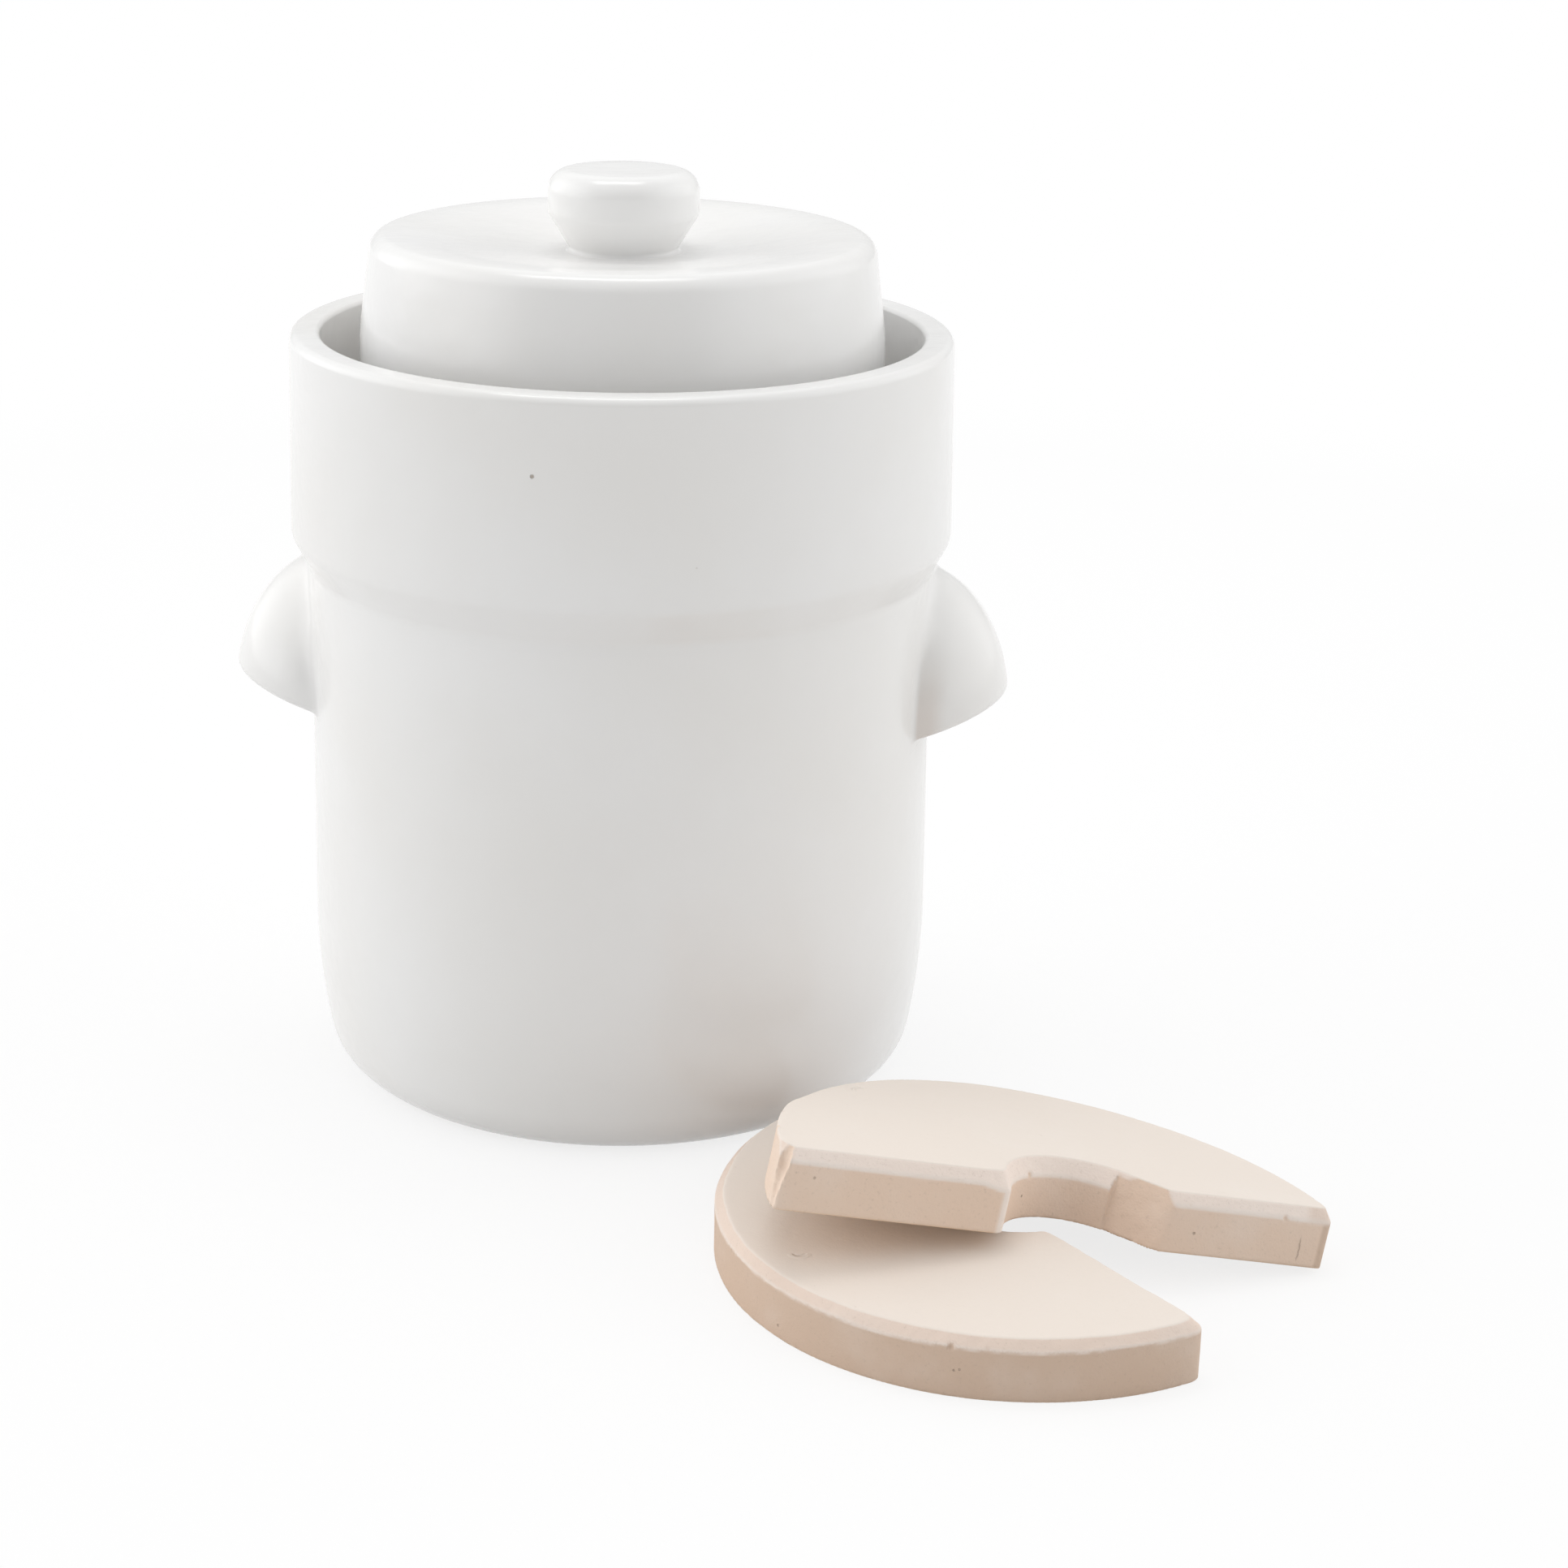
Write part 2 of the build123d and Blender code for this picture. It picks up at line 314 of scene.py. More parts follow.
def stone_clay(name, dents, pits, crack=None):
    """Dry clay, with marks in millimetres and radians.

    Dents are (x, y, size, turn) on the top, pits (x, y, z, size), and a crack is (x, low, high).
    """
    material, tree = new_material(name)
    place = stored(tree, "own_place", 1)
    x, y, z = split(place)
    bevel = stored(tree, "bevel", 2)
    ridge = stored(tree, "ridge", 2)

    top = fade(z, STONE_THICK - 0.35 * MM, STONE_THICK - 0.05 * MM)
    under = 1.0 - fade(z, 0.1 * MM, 0.5 * MM)
    radius = root(x * x + y * y)
    rim = fade(radius, STONE_RADIUS - 3.0 * MM, STONE_RADIUS - 2.0 * MM)
    near_rim = fade(radius, STONE_RADIUS - 8.0 * MM, STONE_RADIUS - 5.0 * MM)
    colour = mix_colour(tree, rim, CLAY_SAWN, CLAY_RIM)
    colour = mix_colour(tree, under, colour, CLAY_UNDER)
    worn = mix_colour(tree, near_rim, CLAY_BEVEL, CLAY_RIM_BEVEL)
    colour = mix_colour(tree, bevel, colour, worn)
    colour = mix_colour(tree, top, colour, CLAY_TOP)
    blotch = noise(tree, place, 34.0, detail=4.0, rough=0.6)
    colour = mix_colour(tree, fade(blotch, -0.05, 0.35) * 0.30, colour, CLAY_FRESH)
    sand = noise(tree, place, 1100.0, detail=3.0, rough=0.7)
    colour = mix_colour(tree, fade(sand, 0.05, 0.30) * (0.30 - top * 0.24), colour, CLAY_SPECK)
    colour = mix_colour(tree, ridge * 0.40, colour, CLAY_FRESH)

    hole = scattered(tree, place, 300.0, (0.05, 0.12), (0.92, 0.95)) * (1.0 - top * 0.8)
    for pit in pits:
        hole = most(hole, spot_at(tree, place, pit, 0.3))
    if crack:
        crack_x, crack_low, crack_high = [value * MM for value in crack]
        wander = noise(tree, place, 350.0) * 1.6 * MM
        along = band(z, crack_low, crack_low + 1.5 * MM, crack_high - 2.0 * MM, crack_high)
        along = along * (1.0 - fade(y, 3.0 * MM, 4.0 * MM)) * (1.0 - bevel)
        cracked = 1.0 - fade(abs(x - crack_x + wander), 0.05 * MM, 0.22 * MM)
        hole = most(hole, cracked * along * 0.7)
    colour = mix_colour(tree, hole * 0.60, colour, CLAY_SPECK)

    grain = noise(tree, place, 1900.0) * 0.08 + noise(tree, place, 420.0) * 0.12
    height = grain * (1.0 - top * 0.6) - hole * 0.30
    for dx, dy, size, turn in dents:
        dent = crescent(x, y, dx * MM, dy * MM, size * MM, turn)
        lip = crescent(x, y, dx * MM, dy * MM, size * 1.7 * MM, turn)
        height = height + (lip * 0.15 - dent * 0.25) * top
    shader = add(tree, "ShaderNodeBsdfPrincipled", {}, {
        "Base Color": colour, "Roughness": DRY_ROUGHNESS, "IOR": 1.45, "Specular IOR Level": 0.25,
        "Normal": bumped(tree, height)})
    add(tree, "ShaderNodeOutputMaterial", {}, {"Surface": shader})
    return material


# %% [markdown]
# ## Outlines
#
# A thrown pot is its outline, turned. Each outline here is a short list of corners, each with its
# radius from the axis, its height and how much the potter's thumb rounded it. rounded() turns the
# corners into points: a few along each straight stretch, and an arc at each corner.

# %% Rounded outlines
STRAIGHT_STEP = 7.0
ARC_TURN = radians(9)
ARC_LEAST = 3


def rounded(corners):
    """Points in metres along an outline of (radius, height, rounding) corners in millimetres."""
    points = []
    for i, (r, z, rounding) in enumerate(corners):
        here = Vector((r, z))
        if not rounding or i in (0, len(corners) - 1):
            points.append(here)
            continue
        back = (Vector(corners[i - 1][:2]) - here).normalized()
        ahead = (Vector(corners[i + 1][:2]) - here).normalized()
        half_turn = (pi - back.angle(ahead)) / 2
        start = here + back * rounding * tan(half_turn)
        centre = here + (back + ahead).normalized() * rounding / cos(half_turn)
        swing = 2 * half_turn * (-1 if back.angle_signed(ahead) < 0 else 1)
        by_turn = ceil(2 * half_turn / ARC_TURN)
        by_length = ceil(2 * half_turn * rounding / STRAIGHT_STEP)
        count = max(ARC_LEAST, by_turn, by_length)
        for step in range(count + 1):
            points.append(centre + Matrix.Rotation(swing * step / count, 2) @ (start - centre))
    filled = [points[0]]
    for end in points[1:]:
        start = filled[-1]
        count = max(1, ceil((end - start).length / STRAIGHT_STEP))
        filled += [start.lerp(end, step / count) for step in range(1, count + 1)]
    return [(p.x * MM, p.y * MM) for p in filled]


# %% [markdown]
# ## Trees that make shapes
#
# The thrown pieces follow one rule, "turn this outline round the axis", and the lugs and stones
# follow others. Geometry Nodes suit that: the rule stays readable, its sizes are named inputs, and
# the result is computed once and kept as a plain mesh. Each tree ends by making its geometry real
# and setting its material, so that the plain mesh kept from it holds no instances.

# %% Start, end and run a tree
def new_tree(name, **sizes):
    """A Geometry Nodes tree that takes a mesh and named numbers, with its inputs as wires."""
    tree = bpy.data.node_groups.new(name, "GeometryNodeTree")
    tree.interface.new_socket("Geometry", in_out="INPUT", socket_type="NodeSocketGeometry")
    for label, value in sizes.items():
        kind = "NodeSocketInt" if isinstance(value, int) else "NodeSocketFloat"
        tree.interface.new_socket(label, in_out="INPUT", socket_type=kind).default_value = value
    tree.interface.new_socket("Geometry", in_out="OUTPUT", socket_type="NodeSocketGeometry")
    node = tree.nodes.new("NodeGroupInput")
    return tree, {socket.name: Wire(socket) for socket in node.outputs if socket.name}


def end_tree(tree, geometry, material):
    """Shades the geometry smooth, makes it real, sets its material and gives it out."""
    smooth = add(tree, "GeometryNodeSetShadeSmooth", {}, {"Geometry": geometry})
    real = add(tree, "GeometryNodeRealizeInstances", {}, {"Geometry": smooth})
    done = add(tree, "GeometryNodeSetMaterial", {}, {"Geometry": real, "Material": material})
    add(tree, "NodeGroupOutput", {}, {"Geometry": done})


def mesh_object(name, mesh):
    piece = bpy.data.objects.new(name, mesh)
    bpy.context.scene.collection.objects.link(piece)
    return piece


def grown(name, tree, start, **sizes):
    """Runs a tree on a start mesh, and keeps what it makes as a plain mesh on a new object."""
    seedling = mesh_object(name + "_start", start)
    modifier = seedling.modifiers.new("grow", "NODES")
    modifier.node_group = tree
    for item in tree.interface.items_tree:
        if item.name in sizes:
            modifier[item.identifier] = sizes[item.name]
    seen = seedling.evaluated_get(bpy.context.evaluated_depsgraph_get())
    mesh = bpy.data.meshes.new_from_object(seen)
    mesh.name = name
    bpy.data.objects.remove(seedling)
    print(name, len(mesh.vertices), "points", len(mesh.polygons), "faces")
    return mesh_object(name, mesh)


def moved_to(tree, geometry, place):
    return add(tree, "GeometryNodeSetPosition", {}, {"Geometry": geometry, "Position": place})


def moved_by(tree, geometry, x, y, z):
    return add(tree, "GeometryNodeSetPosition", {}, {
        "Geometry": geometry, "Offset": joined(tree, x, y, z)})


def own_position(tree):
    return add(tree, "GeometryNodeInputPosition")


# %% [markdown]
# ## The wheel
#
# The wheel's tree lays out a sheet with one row for each point of the outline, looks up that point,
# and swings it round the axis. The ends are merged, so the pot is closed where the sheet meets
# itself and on the axis.
#
# Nothing thrown is perfectly round. A slow noise pushes the clay in by a fraction of a millimetre.
# It reads the position in space, so the lugs, which are made later, are pushed by the same amount
# and stay seated. It only ever pushes inwards, and the jar keeps to its size.

# %% The wheel's tree
WOBBLE = 0.35 * MM


def wobbled(tree, geometry, amount):
    """Pushes points towards the axis, by a slow noise of up to the amount and never outwards."""
    place = own_position(tree)
    x, y, z = split(place)
    radius = most(root(x * x + y * y), 1.0 * MM)
    push = amount * (noise(tree, place, 11.0, detail=1.0, shift=3.7) * 0.9 - 0.5)
    return moved_by(tree, geometry, x / radius * push, y / radius * push, 0.0)


def wheel(name, corners, material, steps=320, shaped=None):
    """A pot: an outline from axis to axis, turned round Z, and shaped further if need be."""
    tree, given = new_tree("Wheel " + name, Steps=steps, Wobble=WOBBLE)
    outline = given["Geometry"]
    count = add(tree, "GeometryNodeAttributeDomainSize", {"component": "MESH"},
                {"Geometry": outline})
    sheet = add(tree, "GeometryNodeMeshGrid", {}, {
        "Size X": 1.0, "Size Y": 1.0, "Vertices X": given["Steps"] + 1, "Vertices Y": count})
    u, v, _ = split(own_position(tree))
    along = (v + 0.5) * (count - 1)
    row = along.maths("ROUND", along)
    point = add(tree, "GeometryNodeSampleIndex", {"data_type": "FLOAT_VECTOR", "domain": "POINT"},
                {"Geometry": outline, "Value": own_position(tree), "Index": row})
    radius, _, height = split(point)
    turn = (u + 0.5) * (2 * pi)
    swung_x = radius * turn.maths("COSINE", turn)
    swung_y = radius * turn.maths("SINE", turn)
    pot = moved_to(tree, sheet, joined(tree, swung_x, swung_y, height))
    pot = add(tree, "GeometryNodeMergeByDistance", {}, {"Geometry": pot, "Distance": 0.001 * MM})
    if shaped:
        pot = shaped(tree, pot)
    end_tree(tree, wobbled(tree, pot, given["Wobble"]), material)

    points = rounded(corners)
    edges = [(i, i + 1) for i in range(len(points) - 1)]
    start = bpy.data.meshes.new(name + "_outline")
    start.from_pydata([(r, 0.0, z) for r, z in points], edges, [])
    return grown(name, tree, start)


# %% [markdown]
# ## The crock
#
# Body, gutter and neck are one wall of clay. The outline below goes from the middle of the foot up
# the outside, over the gutter's rim, down into the water channel, up over the inner neck that the
# lid hides, and down inside to the floor. The sizes that other pieces share come from the packed
# model.

# %% Crock
crock_top = crock_high[2] / MM
gutter_reach = crock_high[0] / MM
rim_top = crock_top - 4.0
channel_floor = lid_low[2] / MM - 0.3
lid_reach = lid_high[0] / MM
channel_reach = lid_reach + 10.2
neck_reach = lid_reach - 9.2
neck_inside = neck_reach - 6.5
gutter_step = 3.6
body_reach = gutter_reach - gutter_step
heel_top = 29.0
wall_taper = 1.3
cove = channel_floor - 12.5
cove_rise = 9.0
chamber_reach = body_reach - 8.8
chamber_floor = 9.0

outside = [
    (0, 0, 0),
    (body_reach - 5.1, 0, 14.0),
    (body_reach, heel_top, 178.0),
    (body_reach - wall_taper, cove, 5.0),
    (gutter_reach, cove + cove_rise, 5.0),
    (gutter_reach - 0.9, rim_top, 2.2),
]
inside = [
    (channel_reach, rim_top, 1.3),
    (channel_reach, channel_floor, 3.0),
    (neck_reach, channel_floor, 3.0),
    (neck_reach, crock_top, 2.9),
    (neck_inside, crock_top, 2.9),
    (neck_inside, channel_floor - 8.0, 4.0),
    (chamber_reach, channel_floor - 15.0, 8.0),
    (chamber_reach, chamber_floor, 16.0),
    (0, chamber_floor, 0),
]
iron_specks = [(-15.6, -85.1, 181.6, 0.7), (23.4, -83.1, 159.8, 0.6)]
glaze_of_crock = glaze("crock_glaze", 1.4 * MM, 72.0 * MM, iron_specks, runs=1.0)
crock = wheel("crock", outside + inside, glaze_of_crock)

# %% [markdown]
# ## The lugs
#
# Each lug is a thumb of clay luted on: half an egg, cut off below and hollowed for the fingers, and
# smeared into the wall all round. Joining meshes would leave a hard seam there. Instead the clay is
# described as a field, a number that is below zero inside it, and the soft least of two fields
# flows one shape into another just as a wet finger does.
#
# A Volume Cube evaluates the field on a grid, and Volume to Mesh draws its surface. The grid leaves
# small steps, so each point then slides along the field's slope onto the exact surface.

# %% Carving from a field
SLOPE_REACH = 0.05 * MM
LEAST_SLOPE = 0.2


def carved(tree, rule, low, high, cell):
    """The surface where a rule of (x, y, z) is zero, inside a box."""
    x, y, z = split(own_position(tree))
    resolution = {"Resolution " + axis: ceil((high[i] - low[i]) / cell)
                  for i, axis in enumerate("XYZ")}
    volume = add(tree, "GeometryNodeVolumeCube", {}, {
        "Density": -rule(x, y, z), "Background": -1.0, "Min": low, "Max": high, **resolution})
    mesh = add(tree, "GeometryNodeVolumeToMesh", {}, {"Volume": volume, "Threshold": 0.0})
    x, y, z = split(own_position(tree))
    here = rule(x, y, z)
    slopes = [(rule(x + SLOPE_REACH, y, z) - here) / SLOPE_REACH,
              (rule(x, y + SLOPE_REACH, z) - here) / SLOPE_REACH,
              (rule(x, y, z + SLOPE_REACH) - here) / SLOPE_REACH]
    steep = slopes[0] * slopes[0] + slopes[1] * slopes[1] + slopes[2] * slopes[2]
    back = least(most(here / most(steep, LEAST_SLOPE), -cell), cell)
    slid = [at - slope * back for at, slope in zip((x, y, z), slopes)]
    return moved_to(tree, mesh, joined(tree, *slid))


# %% [markdown]
# The lug's clay reaches as far as its smear does. There its edge dips a hair under the crock's own
# skin, and inside the wall, where nobody sees it, a back closes the shape.

# %% The lug's field
LUG_AXIS = 77.0 * MM
LUG_LEVEL = 100.5 * MM
LUG_HALF = 27.4 * MM
LUG_TALL = 39.0 * MM
LUG_SLOPE = tan(radians(17))
LUG_EDGE = 2.4 * MM
HOLLOW_HALF = 19.4 * MM
HOLLOW_TALL = 16.0 * MM
WALL_CREASE = 0.9 * MM
GUTTER_BROW = 1.2 * MM
SMEAR_END = 1.6
EDGE_ABOVE = 0.007 * MM
EDGE_DIP = 0.020 * MM
BACK_DEPTH = 2.5 * MM
LUG_BOX = ((60 * MM, -46 * MM, 84 * MM), (106 * MM, 46 * MM, 150 * MM))
LUG_CELL = 0.65 * MM


def egg(x, y, z, width, height):
    """How far outside an egg-shaped solid of revolution a point is, near enough."""
    near = root((x * x + y * y) / width**2 + z * z / height**2)
    steep = root((x * x + y * y) / width**4 + z * z / height**4)
    return near * (near - 1.0) / steep


def lug_clay(x, y, z, rise):
    """The lug alone: an egg, cut below by a slope that ends at the rise, less the hollow."""
    x = x - LUG_AXIS
    z = z - LUG_LEVEL
    half_egg = egg(x, y, z, LUG_HALF, LUG_TALL)
    below = ((x - LUG_HALF) * LUG_SLOPE + rise - z) * cos(atan(LUG_SLOPE))
    hollow = egg(x, y, z - rise + LUG_HALF * LUG_SLOPE, HOLLOW_HALF, HOLLOW_TALL)
    return most(most(half_egg, below, LUG_EDGE), -hollow, LUG_EDGE)


def body_clay(x, y, z):
    """The crock as if it were solid, near the lugs: its wall and the gutter's underside."""
    radius = root(x * x + y * y)
    wall = radius - body_reach * MM + (z - heel_top * MM) * (wall_taper / (cove - heel_top))
    lean_out = (gutter_step + wall_taper) / cove_rise
    under = radius - (body_reach - wall_taper) * MM - (z - cove * MM) * lean_out
    gutter = most(under * cos(atan(lean_out)), radius - gutter_reach * MM, GUTTER_BROW)
    return least(wall, gutter, WALL_CREASE)


def lug(name, **sizes):
    """One lug. Its smear into the body is a Pinch below the height Low, and Wide above High."""
    tree, given = new_tree("Lug", Turn=0.0, Rise=0.0, Pinch=0.0, Wide=0.0, Low=0.0, High=0.0)

    def smeared_clay(x, y, z):
        alone = lug_clay(x, y, z, given["Rise"])
        widening = fade(z, given["Low"], given["High"])
        width = given["Pinch"] + widening * (given["Wide"] - given["Pinch"])
        dip = fade(alone / width, 1.0, SMEAR_END) * EDGE_DIP - EDGE_ABOVE
        clay = least(body_clay(x, y, z), alone, width) + dip
        back = body_reach * MM - BACK_DEPTH - root(x * x + y * y)
        return most(most(clay, back), alone - width * SMEAR_END)

    clay = carved(tree, smeared_clay, *LUG_BOX, LUG_CELL)
    clay = add(tree, "GeometryNodeTransform", {}, {
        "Geometry": clay, "Rotation": joined(tree, 0.0, 0.0, given["Turn"])})
    end_tree(tree, wobbled(tree, clay, WOBBLE), glaze_of_crock)
    return grown(name, tree, bpy.data.meshes.new(name + "_start"), **sizes)


right_lug = lug("right_lug", Turn=0.0, Rise=6.0 * MM, Pinch=2.0 * MM, Wide=7.0 * MM,
                Low=117 * MM, High=128 * MM)
left_lug = lug("left_lug", Turn=pi, Rise=9.2 * MM, Pinch=3.0 * MM, Wide=9.0 * MM,
               Low=105 * MM, High=126 * MM)

# %% [markdown]
# ## The lid and its knob
#
# The lid is thrown upside down and trimmed: a flat, slightly dished top, a soft edge and a tall
# skirt. Two half-round notches in the skirt's foot let the gas out under the water. They are
# pressed in here by lifting the foot where the notch passes, and easing the lift off further up,
# so that the rounded edge follows the notch as it does on the real lid.

# %% Lid
lid_foot = lid_low[2] / MM
lid_top = lid_high[2] / MM
dish_middle = lid_top - 4.5
crown = dish_middle - 7.0
NOTCH_RADIUS = 5.0 * MM
NOTCH_EASE = 18.0 * MM


def gas_notches(tree, geometry):
    """Lifts the skirt's foot over two half-round notches, at the front and at the back."""
    x, y, z = split(own_position(tree))
    arch = root(most(NOTCH_RADIUS ** 2 - x * x, 0.0))
    above = most(z - lid_foot * MM, 0.0)
    return moved_by(tree, geometry, 0.0, 0.0, arch * most(1.0 - above / NOTCH_EASE, 0.0))


lid_outline = [
    (0, crown, 0),
    (lid_reach - 7.6, crown, 6.0),
    (lid_reach - 6.0, lid_foot, 2.2),
    (lid_reach, lid_foot, 2.2),
    (lid_reach, lid_top - 25.0, 60.0),
    (lid_reach - 3.1, lid_top, 4.5),
    (54.8, lid_top, 55.0),
    (21.8, dish_middle, 55.0),
    (0, dish_middle, 0),
]
glaze_of_lid = glaze("lid_glaze", (lid_foot + 2.0) * MM, 72.0 * MM, [], runs=0.0)
lid = wheel("lid", lid_outline, glaze_of_lid, steps=512, shaped=gas_notches)

# %% [markdown]
# The knob is thrown by itself and luted on. Its first corners lie on the dish or just under it, and
# from there a small flare meets the lid nearly flat, so the glaze seems to run over the join.

# %% Knob
knob_top = knob_high[2] / MM
knob_reach = knob_high[0] / MM
knob_outline = [
    (0, dish_middle - 0.5, 0),
    (18.0, dish_middle - 0.5, 0),
    (18.2, dish_middle - 0.05, 0),
    (17.6, dish_middle - 0.03, 0),
    (14.9, dish_middle + 0.03, 1.0),
    (14.2, dish_middle + 0.9, 0.8),
    (knob_reach, dish_middle + 9.8, 3.5),
    (knob_reach, knob_top, 5.4),
    (0, knob_top, 0),
]
knob = wheel("knob", knob_outline, glaze_of_lid, steps=192)

# %% [markdown]
# ## The weight stones
#
# Each stone is half of a cast disc, sawn in two, with a finger notch at the middle of the cut. They
# have been knocked about: the bevelled top edge is worn deep in some places, the line below it is
# ragged and chipped, and the upper stone has lost two corners. That is easiest to say as a field
# again. The outline seen from above comes first, then the flat faces and the bevel, then what broke
# off afterwards.

# %% Stone
STONE_CUT = 2.3 * MM
STONE_WAVE = 0.35 * MM
BEVEL_UNEVEN = 1.5 * MM
BEVEL_RAGGED = 0.5 * MM
CRUMB_DEPTH = 0.5 * MM
STONE_CELL = 0.55 * MM
STONE_ROOM = 2.0 * MM


class StoneShape:
    """What differs between the stones, in millimetres, and the fields that follow from it.

    chips are balls (x, y, z, size). flakes are flat breaks: a point, the way they face, the middle
    (x, y) and reach of the ground they take, and how softly they meet the cut. scoops are upright
    and round: (x, y, size), and a tilt towards +x for each unit of height.
    """

    def __init__(self, notch_radius, notch_offset, notch_corner, tip, short, bevel, notch_bevel,
                 worn_end, slope, shift):
        self.notch_radius, self.notch_offset = notch_radius * MM, notch_offset * MM
        self.notch_corner, self.tip, self.short = notch_corner * MM, tip * MM, short * MM
        self.bevel, self.notch_bevel, self.worn_end = bevel * MM, notch_bevel * MM, worn_end * MM
        self.slope, self.shift = slope, shift
        self.chips, self.flakes, self.scoops = [], [], []

    def worn(self, x, y, z):
        """The fields of the clay, its outline and its bevel, and 1 at the notch's left corner."""
        tree = x.tree
        place = joined(tree, x, y, z)
        across = x - self.notch_offset
        notch = self.notch_radius - root(across * across + y * y)
        cut = STONE_CUT - y
        worn_x = most(x, self.short - x)
        rim = root(worn_x * worn_x + y * y) - STONE_RADIUS
        plan = most(most(rim, cut, self.tip), notch, self.notch_corner)
        slow = noise(tree, place, 45.0, shift=self.shift)
        plan = plan + (slow + 0.5) * STONE_WAVE
        face = abs(z - STONE_THICK / 2) - STONE_THICK / 2

        uneven = noise(tree, place, 38.0, detail=3.0, rough=0.6, shift=self.shift + 5.0)
        ragged = noise(tree, place, 330.0, shift=self.shift)
        left_end = fade(-x, 50.0 * MM, 60.0 * MM) * fade(y, 5.0 * MM, 10.0 * MM)
        depth = self.bevel + (1.0 - fade(abs(notch), 2.0 * MM, 8.0 * MM)) * self.notch_bevel
        depth = depth - left_end * self.worn_end
        depth = depth + uneven * BEVEL_UNEVEN + ragged * BEVEL_RAGGED
        bevel = (plan + (z - STONE_THICK) * self.slope) + depth * self.slope
        bevel = bevel / sqrt(1 + self.slope**2)
        clay = most(most(plan, face, 0.5 * MM), bevel, 0.25 * MM)

        low_edge = z - STONE_THICK + depth
        edge = root(plan * plan + low_edge * low_edge)
        crumbs = noise(tree, place, 240.0, detail=3.0, rough=0.6, shift=self.shift)
        bite = fade(crumbs, 0.14, 0.30) * (1.0 - fade(edge, 0.4 * MM, 1.8 * MM))
        clay = clay + bite * CRUMB_DEPTH
        rough = noise(tree, place, 260.0, detail=3.0, shift=self.shift + 2.0)
        for px, py, pz, size in self.chips:
            dx, dy, dz = x - px * MM, y - py * MM, z - pz * MM
            ball = size * MM - root(dx * dx + dy * dy + dz * dz)
            clay = most(clay, ball + rough * size * MM, 0.2 * MM)
        for (px, py, pz), (nx, ny, nz), (cx, cy), reach, blend in self.flakes:
            flat = (x - px * MM) * nx + (y - py * MM) * ny + (z - pz * MM) * nz
            dx, dy = x - cx * MM, y - cy * MM
            near = reach * MM - root(dx * dx + dy * dy)
            broken = least(flat + rough * 0.7 * MM, near)
            clay = most(clay, most(cut, broken, blend * MM), 0.1 * MM)
        for cx, cy, size, tilt in self.scoops:
            dx, dy = x - cx * MM - z * tilt, y - cy * MM
            bowl = size * MM - root(dx * dx + dy * dy)
            clay = most(clay, bowl + rough * 1.2 * MM, 0.12 * MM)
        corner = 1.0 - fade(abs(cut - notch), 1.5 * MM, 2.3 * MM)
        corner = corner * fade(most(cut, notch), -1.5 * MM, -1.0 * MM)
        corner = corner * (1.0 - fade(across, -1.0 * MM, 1.0 * MM))
        return clay, plan, bevel, corner


def stone(name, shape, material, place):
    """Carves a stone lying flat, notes where each point is, and lays the stone down."""
    tree, _ = new_tree("Stone " + name)
    low = (-STONE_RADIUS - STONE_ROOM, -STONE_ROOM, -STONE_ROOM)
    high = (STONE_RADIUS + STONE_ROOM, STONE_RADIUS + STONE_ROOM, STONE_THICK + STONE_ROOM)
    clay = carved(tree, lambda x, y, z: shape.worn(x, y, z)[0], low, high, STONE_CELL)
    here = own_position(tree)
    _, plan, bevel, corner = shape.worn(*split(here))
    worn_corner = corner * (1.0 - fade(abs(plan), 0.1 * MM, 0.5 * MM))
    on_bevel = most(1.0 - fade(abs(bevel), 0.10 * MM, 0.40 * MM), worn_corner)
    ridge = (1.0 - fade(abs(plan), 0.05 * MM, 0.45 * MM)) * on_bevel
    notes = [("own_place", "FLOAT_VECTOR", here), ("bevel", "FLOAT", on_bevel),
             ("ridge", "FLOAT", ridge)]
    for label, kind, value in notes:
        clay = add(tree, "GeometryNodeStoreNamedAttribute", {"data_type": kind, "domain": "POINT"},
                   {"Geometry": clay, "Name": label, "Value": value})
    end_tree(tree, clay, material)
    piece = grown(name, tree, bpy.data.meshes.new(name + "_start"))
    piece.data.transform(place)
    return piece


# %% [markdown]
# The lower stone lies flat. The upper one rests on the lower one's straight edge and on the floor,
# so its lean follows from where its two contacts are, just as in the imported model.

# %% Lay the stones down
EDGE_BEVEL = 2.0 * MM
SEAT_GAP = 0.3 * MM
lower_centre = Vector((103.49, -122.03, 0.0)) * MM
lower_turn = radians(127.0)
fall_turn = lower_turn - pi / 2
upper_back = 6.6 * MM
upper_slide = -26.7 * MM
upper_turn = radians(-21.6)

lean = 0.0
for _ in range(20):
    lean = asin(STONE_THICK / (STONE_RADIUS - upper_back / cos(lean)))
edge_back = STONE_CUT + EDGE_BEVEL + upper_back
upper_rise = STONE_RADIUS * sin(lean) + SEAT_GAP
lower_place = Matrix.Translation(lower_centre) @ Matrix.Rotation(lower_turn, 4, "Z")
upper_place = (Matrix.Translation(lower_centre) @ Matrix.Rotation(fall_turn, 4, "Z")
               @ Matrix.Translation((-edge_back, upper_slide, upper_rise))
               @ Matrix.Rotation(lean, 4, "Y") @ Matrix.Rotation(upper_turn, 4, "Z"))

